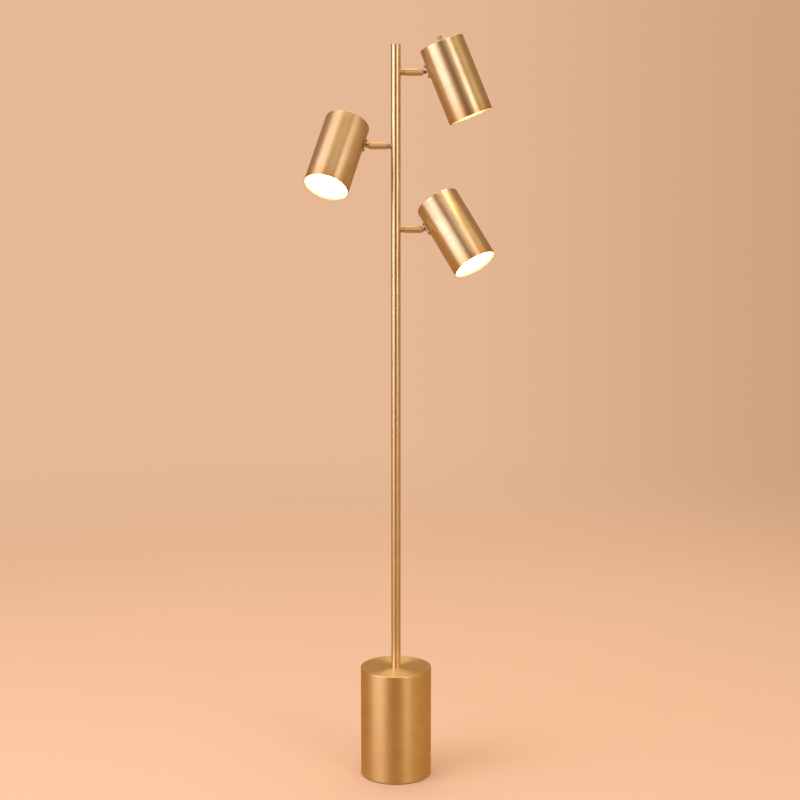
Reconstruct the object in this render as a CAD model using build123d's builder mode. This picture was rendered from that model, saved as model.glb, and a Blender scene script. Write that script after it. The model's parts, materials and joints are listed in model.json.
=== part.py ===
from build123d import *
import os
from math import acos, atan2, cos, hypot, pi, radians, sin

# Tree floor lamp: a weighted drum base, a slim pole and three spot heads on swivel arms.
# Millimetres. The origin is on the floor under the pole, +Z is up, +X is to the right
# of the front view and +Y points to the back.

# ---- drum base ----
base_diameter = 152.4
base_height = 240.5  # floor to the drum's top face
shell_wall = 1.2
shell_top_thickness = 2.0
shell_edge_radius = 1.0
pad_thickness = 1.2
pad_inset = 1.6  # pad edge, in from the drum's wall
flange_thickness = 0.8  # rim of the bottom plate, which the drum's wall stands on
flange_inset = 0.8
bottom_plate_thickness = 2.0
dish_radius = 20.0  # pressed recess that hides the tie nut
dish_depth = 14.0
weight_height = 62.0
weight_gap = 1.2  # between the weight and the drum's wall

# ---- tie rod that clamps pole, drum, weight and bottom plate together ----
tie_diameter = 10.0
tie_bore = 7.0
tie_tail = 3.0  # rod below the nut
tie_hole_gap = 0.3  # round the rod in the drum, the weight and the bottom plate
thread_gap = 0.05  # radial, where a plain rod stands for a thread
tie_nut_across = 14.0
tie_nut_height = 5.0
tie_washer_diameter = 24.0
tie_washer_thickness = 1.6

# ---- cord inlet at the back of the drum ----
inlet_height = 11.0
inlet_bore = 6.4
inlet_neck_diameter = 9.6
inlet_flange_diameter = 13.0
inlet_outer_flange = 1.8
inlet_inner_flange = 2.4
inlet_gap = 0.05  # between the bushing's neck and the drum
cord_channel_gap = 1.5  # round the bushing's flange in the weight

# ---- pole ----
pole_diameter = 20.0
pole_wall = 1.2
pole_length = 1323.0
foot_plug_length = 22.0
top_cap_thickness = 1.6
top_cap_edge = 0.4
plug_length = 9.0
plug_gap = 0.05

# ---- arms: a fixed stub in the pole and a sleeve that rolls on it ----
neck_diameter = 12.4
neck_reach = 18.4  # pole axis to the neck's shoulder
spigot_diameter = 9.4
spigot_depth = 3.6  # into the pole, from its outside
spigot_gap = 0.05
journal_diameter = 9.6
journal_length = 25.0
arm_bore = 5.2
running_gap = 0.05  # radial, in every turning fit
face_gap = 0.4  # between faces that turn past each other
sleeve_diameter = 14.4
sleeve_length = 35.8
sleeve_chamber_diameter = 12.0  # room for the retaining ring
sleeve_edge = 0.3
ring_width = 3.4  # from the ring's inside to its outside, in the groove and beyond it
ring_thickness = 1.0
ring_groove_depth = 0.9
ring_setback = 2.6  # ring, in from the journal's end
ring_slot = 3.0
ring_side_gap = 0.3

# ---- knuckle between sleeve and shade ----
nose_length = 1.8  # tapered end of the knuckle
nose_tip_diameter = 9.2
knuckle_plug_length = 7.6
wire_bore = 3.6
pivot_reach = 60.0  # pole axis to the pivot pin
ear_radius = 3.0
ear_thickness = 2.3
tongue_thickness = 3.0
slot_gap = 0.15  # each side of the tongue
pivot_pin_diameter = 3.0
pivot_head_diameter = 5.4
pivot_head_height = 1.7
pivot_tail = 0.5
driver_slot_width = 0.8
driver_slot_depth = 0.8
screw_head_edge = 0.4

# ---- shade ----
shade_diameter = 94.0
shade_length = 162.5
shade_wall = 1.0
shade_back_thickness = 1.2
shade_edge_radius = 1.6
pivot_setback = 42.7  # shade's back to the pivot, along the shade
pivot_standoff = 6.2  # shade's wall to the pivot pin

# ---- swivel plate on the shade ----
swivel_plate_length = 30.0
swivel_plate_width = 12.0
swivel_plate_thickness = 1.4
swivel_plate_corner = 3.0
swivel_plate_standoff = 1.2
boss_diameter = 6.4
plate_screw_spacing = 22.0
plate_screw_diameter = 3.0
plate_screw_head_diameter = 5.6
plate_screw_head_height = 1.8
plate_screw_tail = 1.2

# ---- rotary switch in the shade's back ----
bushing_diameter = 7.0
bushing_reach = 4.2  # out of the shade's back
switch_body_diameter = 19.0
switch_body_length = 15.0
switch_nut_across = 10.0
switch_nut_height = 1.8
knob_diameter = 11.8
knob_length = 12.4
knob_edge = 0.6
knob_flutes = 20
flute_diameter = 1.2
flute_offset = 0.2  # flute centres, out from the knob's side
stem_diameter = 3.0
stem_depth = 6.8  # into the switch, from the back wall's inside

# ---- lampholder on its bracket ----
bracket_thickness = 1.5
bracket_width = 14.0
bracket_setback = 25.0  # shade's back to the strap
bracket_overhang = 12.0  # strap past the shade's axis
nipple_diameter = 10.0
nipple_bore = 6.0
nipple_reach = 5.5
holder_nut_across = 14.0
holder_nut_height = 3.0
holder_diameter = 38.0
holder_neck_diameter = 24.0
holder_neck_length = 5.0
holder_length = 44.0
holder_socket_diameter = 27.8
holder_socket_depth = 26.0

# ---- bulb ----
bulb_cap_diameter = 26.0
bulb_cap_length = 25.4
bulb_contact_diameter = 9.0
bulb_contact_height = 1.5
bulb_insulator_height = 6.1  # contact and glass cone, up to the cap's metal shell
bulb_ball_diameter = 60.0
bulb_length = 109.0  # over the cap and the globe
bulb_neck_diameter = 27.0
globe_wall = 1.0

# ---- where the heads are and how they are aimed ----
# drop: pole top to the arm. roll: turned about the arm, towards the front.
# tilt: opening swung outwards, away from the pole.
upper_drop, upper_roll, upper_tilt = 55.4, 7.0, 22.2
middle_drop, middle_roll, middle_tilt = 204.8, 36.3, 15.0
lower_drop, lower_roll, lower_tilt = 377.0, 28.4, 28.6

# ---- values that follow from the ones above ----
base_radius = base_diameter / 2
shell_bottom = pad_thickness + flange_thickness
plate_top = pad_thickness + bottom_plate_thickness
dish_top = pad_thickness + dish_depth
dish_ceiling = dish_top - bottom_plate_thickness
tie_radius = tie_diameter / 2
nut_bottom = dish_ceiling - tie_washer_thickness - tie_nut_height
pole_radius = pole_diameter / 2
pole_bore_radius = pole_radius - pole_wall
pole_top = base_height + pole_length
sleeve_start = neck_reach + face_gap
sleeve_end = sleeve_start + sleeve_length
journal_end = neck_reach + journal_length
journal_radius = journal_diameter / 2
ring_start = journal_end - ring_setback - ring_thickness
groove_radius = journal_radius - ring_groove_depth
chamber_start = ring_start - ring_side_gap
nose_end = sleeve_end + nose_length
ear_half_width = tongue_thickness / 2 + slot_gap + ear_thickness
pin_radius = pivot_pin_diameter / 2
shade_radius = shade_diameter / 2
shade_inner_radius = shade_radius - shade_wall
plate_inner = shade_radius + swivel_plate_standoff
plate_outer = plate_inner + swivel_plate_thickness
plate_screw_radius = plate_screw_diameter / 2
bushing_radius = bushing_diameter / 2
knob_start = switch_nut_height + face_gap  # out from the shade's back
knob_end = knob_start + knob_length
knob_recess = bushing_reach - knob_start + face_gap
stem_end = shade_back_thickness + stem_depth
holder_seat = bracket_setback + bracket_thickness
socket_floor = holder_seat + holder_length - holder_socket_depth
globe_start = socket_floor + bulb_cap_length


class Head:
    """One spot head: where its arm leaves the pole and how it is aimed."""

    def __init__(self, name, side, drop, roll, tilt):
        self.name = name
        out = Vector(side, 0, 0)
        pin = Vector(0, cos(radians(roll)), -sin(radians(roll)))
        down = Vector(0, -sin(radians(roll)), -cos(radians(roll)))
        aim = down * cos(radians(tilt)) + out * sin(radians(tilt))
        towards_arm = down * sin(radians(tilt)) - out * cos(radians(tilt))
        root = Vector(0, 0, pole_top - drop)
        pivot = root + out * pivot_reach
        back = pivot - towards_arm * (shade_radius + pivot_standoff) - aim * pivot_setback
        self.arm = Plane(origin=root, x_dir=pin, z_dir=out)
        self.knuckle = Plane(origin=pivot, x_dir=out, z_dir=pin)
        self.tongue = Plane(origin=pivot, x_dir=towards_arm * -1, z_dir=pin)
        self.shade = Plane(origin=back, x_dir=towards_arm, z_dir=aim)
        foot = back + towards_arm * plate_inner + aim * pivot_setback
        self.plate = Plane(origin=foot, x_dir=aim, z_dir=towards_arm)


def turn(plane, outline, mode=Mode.ADD):
    """Turn an outline of (radius, height) points about the plane's z axis."""
    section = Plane(origin=plane.origin, x_dir=plane.x_dir, z_dir=plane.y_dir * -1)
    with BuildSketch(section) as profile:
        with BuildLine():
            Polyline(*outline, close=True)
        make_face()
    revolve(profile.sketch, axis=Axis(plane.origin, plane.z_dir), mode=mode)


def ring_outline(inner, outer, low, high):
    return [(inner, low), (outer, low), (outer, high), (inner, high)]


def hexagon_nut(plane, across, height, hole_radius):
    """Hexagon nut that stands on the plane."""
    with BuildPart() as nut:
        with BuildSketch(plane):
            RegularPolygon(across / 2, 6, major_radius=False)
            Circle(hole_radius, mode=Mode.SUBTRACT)
        extrude(amount=height)
    return nut


# ---- base ----


def foot_pad():
    with BuildPart() as pad:
        with BuildSketch(Plane.XY):
            Circle(base_radius - pad_inset)
        extrude(amount=pad_thickness)
    return pad


def base_plate():
    """Pressed bottom plate: a rim under the drum's wall and a dish for the tie nut."""
    rim = base_radius - flange_inset
    step = base_radius - shell_wall - tie_hole_gap
    wall = bottom_plate_thickness
    outline = [
        (tie_radius + tie_hole_gap, dish_ceiling),
        (dish_radius - wall, dish_ceiling),
        (dish_radius, pad_thickness),
        (rim, pad_thickness),
        (rim, shell_bottom),
        (step, shell_bottom),
        (step, plate_top),
        (dish_radius + wall, plate_top),
        (dish_radius, dish_top),
        (tie_radius + tie_hole_gap, dish_top),
    ]
    with BuildPart() as plate:
        turn(Plane.XY, outline)
        with BuildSketch(Plane.XZ.offset(-dish_radius - 2 * wall)):
            with Locations((0, (pad_thickness + dish_ceiling) / 2)):
                Circle(inlet_bore / 2)
        extrude(amount=2 * wall + dish_radius / 2, mode=Mode.SUBTRACT)
    return plate


def base_weight():
    """Cast iron slug with a seat for the dish and a channel for the supply lead."""
    seat = dish_radius + bottom_plate_thickness + 2 * tie_hole_gap
    outline = [
        (tie_radius + 2 * tie_hole_gap, dish_top),
        (seat, dish_top),
        (seat, plate_top),
        (base_radius - shell_wall - weight_gap, plate_top),
        (base_radius - shell_wall - weight_gap, plate_top + weight_height),
        (tie_radius + 2 * tie_hole_gap, plate_top + weight_height),
    ]
    channel_width = inlet_flange_diameter + 2 * cord_channel_gap
    channel_top = inlet_height + channel_width / 2
    with BuildPart() as weight:
        turn(Plane.XY, outline)
        with BuildSketch(Plane.XY):
            with Locations((0, base_radius / 2)):
                Rectangle(channel_width, base_radius)
        extrude(amount=channel_top, mode=Mode.SUBTRACT)
        chamfer(weight.faces().sort_by(Axis.Z)[-1].outer_wire().edges(), length=2 * weight_gap)
    return weight


def base_shell():
    """Drum shell, open below, with the hole for the tie rod and the cord inlet."""
    with BuildPart() as shell:
        with BuildSketch(Plane.XY.offset(shell_bottom)):
            Circle(base_radius)
        extrude(amount=base_height - shell_bottom)
        fillet(shell.faces().sort_by(Axis.Z)[-1].edges(), radius=shell_edge_radius)
        with BuildSketch(Plane.XY.offset(shell_bottom)):
            Circle(base_radius - shell_wall)
        inside = base_height - shell_top_thickness - shell_bottom
        extrude(amount=inside, mode=Mode.SUBTRACT)
        with BuildSketch(Plane.XY.offset(base_height)):
            Circle(tie_radius + tie_hole_gap)
        extrude(amount=-2 * shell_top_thickness, mode=Mode.SUBTRACT)
        with BuildSketch(Plane.XZ.offset(-base_radius - shell_wall)):
            with Locations((0, inlet_height)):
                Circle(inlet_neck_diameter / 2 + inlet_gap)
        extrude(amount=4 * shell_wall, mode=Mode.SUBTRACT)
    return shell


def cord_bushing():
    """Bushing of the cord inlet, its two flanges curved to the drum's wall."""
    inner_end = base_radius - shell_wall - inlet_inner_flange
    outer_end = base_radius + inlet_outer_flange
    length = outer_end - inner_end
    with BuildPart() as bushing:
        with BuildSketch(Plane.XZ.offset(-outer_end)):
            with Locations((0, inlet_height)):
                Circle(inlet_flange_diameter / 2)
        extrude(amount=length)
        with BuildSketch(Plane.XY.offset(-inlet_height)):
            Circle(base_radius)
            Circle(base_radius - shell_wall, mode=Mode.SUBTRACT)
        extrude(amount=4 * inlet_height, mode=Mode.SUBTRACT)
        with BuildSketch(Plane.XZ.offset(-outer_end)):
            with Locations((0, inlet_height)):
                Circle(inlet_neck_diameter / 2)
        extrude(amount=length)
        with BuildSketch(Plane.XZ.offset(-outer_end)):
            with Locations((0, inlet_height)):
                Circle(inlet_bore / 2)
        extrude(amount=length, mode=Mode.SUBTRACT)
    return bushing


def tie_rod():
    with BuildPart() as rod:
        low = nut_bottom - tie_tail
        high = base_height + foot_plug_length
        turn(Plane.XY, ring_outline(tie_bore / 2, tie_radius, low, high))
    return rod


def tie_washer():
    with BuildPart() as washer:
        low = dish_ceiling - tie_washer_thickness
        turn(Plane.XY, ring_outline(tie_radius + tie_hole_gap, tie_washer_diameter / 2, low, dish_ceiling))
    return washer


def tie_nut():
    return hexagon_nut(Plane.XY.offset(nut_bottom), tie_nut_across, tie_nut_height, tie_radius + thread_gap)


# ---- pole ----


def pole():
    """Tube with one side hole for each arm stub."""
    with BuildPart() as tube:
        turn(Plane.XY, ring_outline(pole_bore_radius, pole_radius, base_height, pole_top))
        for head in heads:
            with BuildSketch(head.arm) as hole:
                Circle(spigot_diameter / 2 + spigot_gap)
            extrude(hole.sketch, amount=2 * pole_radius, mode=Mode.SUBTRACT)
    return tube


def pole_foot_plug():
    """Threaded plug in the pole's lower end, for the tie rod."""
    with BuildPart() as plug:
        outline = ring_outline(tie_radius + thread_gap, pole_bore_radius - plug_gap, base_height,
                               base_height + foot_plug_length)
        turn(Plane.XY, outline)
    return plug


def pole_top_cap():
    """Flat end cap with a spigot inside the tube."""
    cap_radius = pole_radius
    spigot = pole_bore_radius - plug_gap
    outline = [
        (0, pole_top - plug_length),
        (spigot, pole_top - plug_length),
        (spigot, pole_top),
        (cap_radius, pole_top),
        (cap_radius, pole_top + top_cap_thickness - top_cap_edge),
        (cap_radius - top_cap_edge, pole_top + top_cap_thickness),
        (0, pole_top + top_cap_thickness),
    ]
    with BuildPart() as cap:
        turn(Plane.XY, outline)
    return cap


# ---- arm and knuckle ----


def arm_stub(head):
    """Fixed stub: spigot in the pole, neck shaped to the pole's side, journal and ring groove."""
    neck = neck_diameter / 2
    start = pole_radius - spigot_depth
    outline = [
        (0, start),
        (neck, start),
        (neck, neck_reach),
        (journal_radius, neck_reach),
        (journal_radius, ring_start - ring_side_gap / 2),
        (groove_radius, ring_start - ring_side_gap / 2),
        (groove_radius, ring_start + ring_thickness + ring_side_gap / 2),
        (journal_radius, ring_start + ring_thickness + ring_side_gap / 2),
        (journal_radius, journal_end),
        (0, journal_end),
    ]
    with BuildPart() as stub:
        turn(head.arm, outline)
        with BuildSketch(Plane.XY.offset(head.arm.origin.Z - neck_diameter)):
            Circle(pole_radius)
        extrude(amount=2 * neck_diameter, mode=Mode.SUBTRACT)
        turn(head.arm, ring_outline(0, spigot_diameter / 2, start, neck_reach))
        turn(head.arm, ring_outline(0, arm_bore / 2, start, journal_end), mode=Mode.SUBTRACT)
    return stub


def retaining_ring(head):
    """Open spring ring in the journal's groove, which keeps the sleeve on."""
    inner = groove_radius + running_gap
    with BuildPart() as ring:
        with BuildSketch(head.arm.offset(ring_start)):
            Circle(groove_radius + ring_width / 2)
            Circle(inner, mode=Mode.SUBTRACT)
            with Locations((0, ring_width)):
                Rectangle(ring_slot, 2 * ring_width, align=(Align.CENTER, Align.MIN), mode=Mode.SUBTRACT)
        extrude(amount=ring_thickness)
    return ring


def arm_sleeve(head):
    """Trim sleeve that rolls on the stub, with a chamber for the retaining ring."""
    outer = sleeve_diameter / 2
    bore = journal_radius + running_gap
    chamber = sleeve_chamber_diameter / 2
    outline = [
        (bore, sleeve_start),
        (outer - sleeve_edge, sleeve_start),
        (outer, sleeve_start + sleeve_edge),
        (outer, sleeve_end),
        (chamber, sleeve_end),
        (chamber, chamber_start),
        (bore, chamber_start),
    ]
    with BuildPart() as sleeve:
        turn(head.arm, outline)
    return sleeve


def knuckle_fork(head):
    """Plug in the sleeve's end, a tapered nose and two ears for the pivot."""
    plug = sleeve_chamber_diameter / 2 - plug_gap
    outline = [
        (0, sleeve_end - knuckle_plug_length),
        (plug, sleeve_end - knuckle_plug_length),
        (plug, sleeve_end),
        (sleeve_diameter / 2, sleeve_end),
        (nose_tip_diameter / 2, nose_end),
        (0, nose_end),
    ]
    slot_floor = pivot_reach - ear_radius - slot_gap
    with BuildPart() as fork:
        turn(head.arm, outline)
        with BuildSketch(head.knuckle):
            Circle(ear_radius)
            root = pivot_reach - nose_end + nose_length / 2
            Rectangle(root, 2 * ear_radius, align=(Align.MAX, Align.CENTER))
        extrude(amount=ear_half_width, both=True)
        with BuildSketch(head.arm.offset(slot_floor)):
            Rectangle(tongue_thickness + 2 * slot_gap, 2 * sleeve_diameter)
        extrude(amount=3 * ear_radius, mode=Mode.SUBTRACT)
        turn(head.arm, ring_outline(0, wire_bore / 2, sleeve_end - knuckle_plug_length, pivot_reach),
             mode=Mode.SUBTRACT)
        with BuildSketch(head.knuckle.offset(-2 * ear_half_width)):
            Circle(pin_radius + running_gap)
        extrude(amount=4 * ear_half_width, mode=Mode.SUBTRACT)
    return fork


def slotted_screw(plane, radius, length, head_radius, head_height):
    """Screw whose head stands on the plane and whose shank goes down through it."""
    with BuildPart() as screw:
        with BuildSketch(plane.offset(-length)):
            Circle(radius)
        extrude(amount=length)
        with BuildSketch(plane):
            Circle(head_radius)
        extrude(amount=head_height)
        chamfer(screw.edges().filter_by(GeomType.CIRCLE).sort_by(Axis(plane.origin, plane.z_dir))[-1],
                length=screw_head_edge)
        with BuildSketch(plane.offset(head_height - driver_slot_depth)):
            Rectangle(driver_slot_width, 3 * head_radius)
        extrude(amount=2 * driver_slot_depth, mode=Mode.SUBTRACT)
    return screw


def pivot_screw(head):
    """Pivot pin: a slotted screw through both ears, its head towards the front."""
    front = Plane(origin=head.knuckle.origin - head.knuckle.z_dir * ear_half_width,
                  x_dir=head.knuckle.x_dir, z_dir=head.knuckle.z_dir * -1)
    return slotted_screw(front, pin_radius, 2 * ear_half_width + pivot_tail, pivot_head_diameter / 2,
                         pivot_head_height)


def swivel_plate(head):
    """Plate on two bosses shaped to the shade, with the tongue that turns in the fork."""
    with BuildPart() as plate:
        with BuildSketch(head.plate):
            RectangleRounded(swivel_plate_length, swivel_plate_width, swivel_plate_corner)
        extrude(amount=swivel_plate_thickness)
        with BuildSketch(head.plate):
            with GridLocations(plate_screw_spacing, 1, 2, 1):
                Circle(boss_diameter / 2)
        extrude(amount=-2 * swivel_plate_standoff)
        with BuildSketch(head.shade):
            Circle(shade_radius)
        extrude(amount=shade_length, mode=Mode.SUBTRACT)
        with BuildSketch(head.tongue):
            Circle(ear_radius)
            depth = pivot_standoff - swivel_plate_standoff - swivel_plate_thickness / 2
            Rectangle(depth, 2 * ear_radius, align=(Align.MIN, Align.CENTER))
        extrude(amount=tongue_thickness / 2, both=True)
        with BuildSketch(head.tongue.offset(-tongue_thickness)):
            Circle(pin_radius + running_gap)
        extrude(amount=2 * tongue_thickness, mode=Mode.SUBTRACT)
        with BuildSketch(head.plate.offset(-2 * swivel_plate_standoff)):
            with GridLocations(plate_screw_spacing, 1, 2, 1):
                Circle(plate_screw_radius + spigot_gap)
        extrude(amount=2 * swivel_plate_standoff + 2 * swivel_plate_thickness, mode=Mode.SUBTRACT)
    return plate


def plate_screw_planes(head):
    """Seats of the two plate screws, on the plate's outer face."""
    seat = head.plate.offset(swivel_plate_thickness)
    half = plate_screw_spacing / 2
    return [Plane(origin=seat.origin + seat.x_dir * step, x_dir=seat.x_dir, z_dir=seat.z_dir)
            for step in (-half, half)]


def plate_screws(head):
    grip = plate_outer - (shade_inner_radius - bracket_thickness) + plate_screw_tail
    screws = [slotted_screw(seat, plate_screw_radius, grip, plate_screw_head_diameter / 2,
                            plate_screw_head_height) for seat in plate_screw_planes(head)]
    with BuildPart() as pair:
        for screw in screws:
            add(screw.part)
    return pair


# ---- shade and what it holds ----


def shade(head):
    """Cylinder closed at the back and open at the front."""
    with BuildPart() as cup:
        with BuildSketch(head.shade):
            Circle(shade_radius)
        extrude(amount=shade_length)
        rim = cup.edges().filter_by(GeomType.CIRCLE).sort_by(Axis(head.shade.origin, head.shade.z_dir))
        fillet(rim[0], radius=shade_edge_radius)
        with BuildSketch(head.shade.offset(shade_back_thickness)):
            Circle(shade_inner_radius)
        extrude(amount=shade_length, mode=Mode.SUBTRACT)
        with BuildSketch(head.shade):
            Circle(bushing_radius + inlet_gap)
        extrude(amount=2 * shade_back_thickness, mode=Mode.SUBTRACT)
        with BuildSketch(head.plate):
            with GridLocations(plate_screw_spacing, 1, 2, 1):
                Circle(plate_screw_radius + spigot_gap)
        extrude(amount=-swivel_plate_standoff - 3 * shade_wall, mode=Mode.SUBTRACT)
    return cup


def switch_body(head):
    """Rotary switch with its threaded bushing through the shade's back."""
    body = switch_body_diameter / 2
    bore = stem_diameter / 2 + running_gap
    inner_end = shade_back_thickness + switch_body_length
    outline = [
        (bore, -bushing_reach),
        (bushing_radius, -bushing_reach),
        (bushing_radius, shade_back_thickness),
        (body, shade_back_thickness),
        (body, inner_end),
        (0, inner_end),
        (0, stem_end + face_gap),
        (bore, stem_end + face_gap),
    ]
    with BuildPart() as switch:
        turn(head.shade, outline)
    return switch


def switch_nut(head):
    seat = head.shade.offset(-switch_nut_height)
    return hexagon_nut(seat, switch_nut_across, switch_nut_height, bushing_radius + thread_gap)


def switch_knob(head):
    """Fluted turning knob over the bushing, with its stem in the switch."""
    outer = knob_diameter / 2
    recess = bushing_radius + face_gap
    outline = [
        (0, -knob_end),
        (outer - knob_edge, -knob_end),
        (outer, -knob_end + knob_edge),
        (outer, -knob_start - knob_edge / 2),
        (outer - knob_edge / 2, -knob_start),
        (recess, -knob_start),
        (recess, -knob_start - knob_recess),
        (stem_diameter / 2, -knob_start - knob_recess),
        (stem_diameter / 2, stem_end),
        (0, stem_end),
    ]
    with BuildPart() as knob:
        turn(head.shade, outline)
        with BuildSketch(head.shade.offset(-knob_end)):
            with PolarLocations(outer + flute_offset, knob_flutes):
                Circle(flute_diameter / 2)
        extrude(amount=knob_length, mode=Mode.SUBTRACT)
    return knob


def socket_bracket(head):
    """Angle bracket: a leg along the shade's wall and a strap across to its axis."""
    outer = shade_inner_radius - spigot_gap
    inner = outer - bracket_thickness
    leg_end = pivot_setback + (plate_screw_spacing + boss_diameter) / 2
    with BuildPart() as bracket:
        with BuildSketch(head.shade.offset(bracket_setback)):
            Circle(outer)
            Circle(inner, mode=Mode.SUBTRACT)
            Rectangle(outer, bracket_width, align=(Align.MIN, Align.CENTER), mode=Mode.INTERSECT)
        extrude(amount=leg_end - bracket_setback)
        with BuildSketch(head.shade.offset(bracket_setback)):
            Rectangle(outer, bracket_width, align=(Align.MIN, Align.CENTER))
            Rectangle(bracket_overhang, bracket_width, align=(Align.MAX, Align.CENTER))
            Circle(outer, mode=Mode.INTERSECT)
            Circle(nipple_diameter / 2 + spigot_gap, mode=Mode.SUBTRACT)
        extrude(amount=bracket_thickness)
        with BuildSketch(head.plate):
            with GridLocations(plate_screw_spacing, 1, 2, 1):
                Circle(plate_screw_radius + thread_gap)
        extrude(amount=-(plate_outer - inner + bracket_thickness), mode=Mode.SUBTRACT)
    return bracket


def lampholder(head):
    """Screw lampholder with a threaded nipple through the strap."""
    body = holder_diameter / 2
    neck = holder_neck_diameter / 2
    mouth = holder_seat + holder_length
    shoulder = holder_seat + holder_neck_length
    outline = [
        (nipple_bore / 2, bracket_setback - nipple_reach),
        (nipple_diameter / 2, bracket_setback - nipple_reach),
        (nipple_diameter / 2, holder_seat),
        (neck, holder_seat),
        (neck, shoulder),
        (body, shoulder + (body - neck) / 2),
        (body, mouth),
        (holder_socket_diameter / 2, mouth),
        (holder_socket_diameter / 2, socket_floor),
        (nipple_bore / 2, socket_floor),
    ]
    with BuildPart() as holder:
        turn(head.shade, outline)
    return holder


def holder_nut(head):
    seat = head.shade.offset(bracket_setback - holder_nut_height)
    return hexagon_nut(seat, holder_nut_across, holder_nut_height, nipple_diameter / 2 + thread_gap)


def bulb_cap(head):
    """Screw cap of the bulb, with its centre contact on the socket's floor."""
    cap = bulb_cap_diameter / 2
    contact = bulb_contact_diameter / 2
    outline = [
        (0, socket_floor),
        (contact, socket_floor),
        (contact, socket_floor + bulb_contact_height),
        (cap, socket_floor + bulb_insulator_height),
        (cap, globe_start),
        (0, globe_start),
    ]
    with BuildPart() as screw_cap:
        turn(head.shade, outline)
    return screw_cap


def turn_globe(plane, radius, neck, centre, low, mode=Mode.ADD):
    """Turn a ball with a cone that runs off it, tangent, down to the neck."""
    drop = centre - low
    swing = atan2(neck, drop) + acos(radius / hypot(neck, drop))  # from straight down, at the centre
    middle = (swing + pi) / 2
    touch = (radius * sin(swing), centre - radius * cos(swing))
    via = (radius * sin(middle), centre - radius * cos(middle))
    tip = (0, centre + radius)
    section = Plane(origin=plane.origin, x_dir=plane.x_dir, z_dir=plane.y_dir * -1)
    with BuildSketch(section) as profile:
        with BuildLine():
            Polyline((0, low), (neck, low), touch)
            ThreePointArc(touch, via, tip)
            Line(tip, (0, low))
        make_face()
    revolve(profile.sketch, axis=Axis(plane.origin, plane.z_dir), mode=mode)


def bulb_globe(head):
    """Opal glass globe, open at the cap."""
    ball = bulb_ball_diameter / 2
    neck = bulb_neck_diameter / 2
    centre = socket_floor + bulb_length - ball
    with BuildPart() as globe:
        turn_globe(head.shade, ball, neck, centre, globe_start)
        turn_globe(head.shade, ball - globe_wall, neck - globe_wall, centre, globe_start, mode=Mode.SUBTRACT)
    return globe


def save(piece, label):
    piece.part.label = label
    export_step(piece.part, f"parts/{label}.step")


heads = [
    Head("upper", 1, upper_drop, upper_roll, upper_tilt),
    Head("middle", -1, middle_drop, middle_roll, middle_tilt),
    Head("lower", 1, lower_drop, lower_roll, lower_tilt),
]
base_and_pole = [
    foot_pad,
    base_plate,
    base_weight,
    base_shell,
    cord_bushing,
    tie_rod,
    tie_washer,
    tie_nut,
    pole,
    pole_foot_plug,
    pole_top_cap,
]
head_pieces = [
    arm_stub,
    retaining_ring,
    arm_sleeve,
    knuckle_fork,
    pivot_screw,
    swivel_plate,
    plate_screws,
    shade,
    switch_body,
    switch_nut,
    switch_knob,
    socket_bracket,
    lampholder,
    holder_nut,
    bulb_cap,
    bulb_globe,
]

os.makedirs("parts", exist_ok=True)
for make in base_and_pole:
    save(make(), make.__name__)
for head in heads:
    for make in head_pieces:
        save(make(head), f"{head.name}_{make.__name__}")
    print(head.name, "pivot", head.knuckle.origin, "pin", head.knuckle.z_dir, "aim", head.shade.z_dir)
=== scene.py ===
import json
from math import acos, atan2, cos, hypot, pi, radians, sin, sqrt, tan

import bmesh
import bpy
from mathutils import Matrix, Vector


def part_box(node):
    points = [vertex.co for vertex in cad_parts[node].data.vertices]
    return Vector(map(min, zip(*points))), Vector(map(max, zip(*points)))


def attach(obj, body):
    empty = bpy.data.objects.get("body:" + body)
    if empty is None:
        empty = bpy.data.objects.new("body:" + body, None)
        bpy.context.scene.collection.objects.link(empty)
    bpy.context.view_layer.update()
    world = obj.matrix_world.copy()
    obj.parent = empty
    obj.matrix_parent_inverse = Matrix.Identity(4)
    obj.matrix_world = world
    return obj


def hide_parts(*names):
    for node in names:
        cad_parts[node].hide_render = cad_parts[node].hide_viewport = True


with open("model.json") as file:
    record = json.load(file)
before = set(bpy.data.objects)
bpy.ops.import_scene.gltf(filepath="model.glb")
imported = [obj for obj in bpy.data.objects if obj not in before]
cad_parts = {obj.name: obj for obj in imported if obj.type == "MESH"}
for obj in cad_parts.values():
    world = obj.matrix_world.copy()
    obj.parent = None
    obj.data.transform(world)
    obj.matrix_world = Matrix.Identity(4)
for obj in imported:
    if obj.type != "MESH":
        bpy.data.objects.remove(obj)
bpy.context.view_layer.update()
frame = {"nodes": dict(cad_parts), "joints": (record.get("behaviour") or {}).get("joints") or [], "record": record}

mm = 0.001
tiny = 1e-6  # metres, to tell whether a point lies at a given place
upright = Matrix.Identity(4)
nodes = frame["nodes"]
joints = {joint["name"]: joint for joint in frame["joints"]}
heads = [name.removesuffix("_switch") for name in joints if name.endswith("_switch")]
print("frame loaded, heads:", heads)


# shader nodes: sums are written as sums, everything else goes through node()

class Wire:
    def __init__(self, shading, socket):
        self.shading = shading
        self.socket = socket

    def __add__(self, other):
        return self.shading.maths("ADD", self, other)

    def __radd__(self, other):
        return self.shading.maths("ADD", other, self)

    def __sub__(self, other):
        return self.shading.maths("SUBTRACT", self, other)

    def __rsub__(self, other):
        return self.shading.maths("SUBTRACT", other, self)

    def __mul__(self, other):
        return self.shading.maths("MULTIPLY", self, other)

    def __rmul__(self, other):
        return self.shading.maths("MULTIPLY", other, self)

    def __pow__(self, other):
        return self.shading.maths("POWER", self, other)

    def __gt__(self, other):
        return self.shading.maths("GREATER_THAN", self, other)

    def __lt__(self, other):
        return self.shading.maths("LESS_THAN", self, other)


class Outputs:
    def __init__(self, shading, made):
        self.shading = shading
        self.made = made

    def __getitem__(self, key):
        return Wire(self.shading, self.shading.find(self.made.outputs, key))


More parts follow.
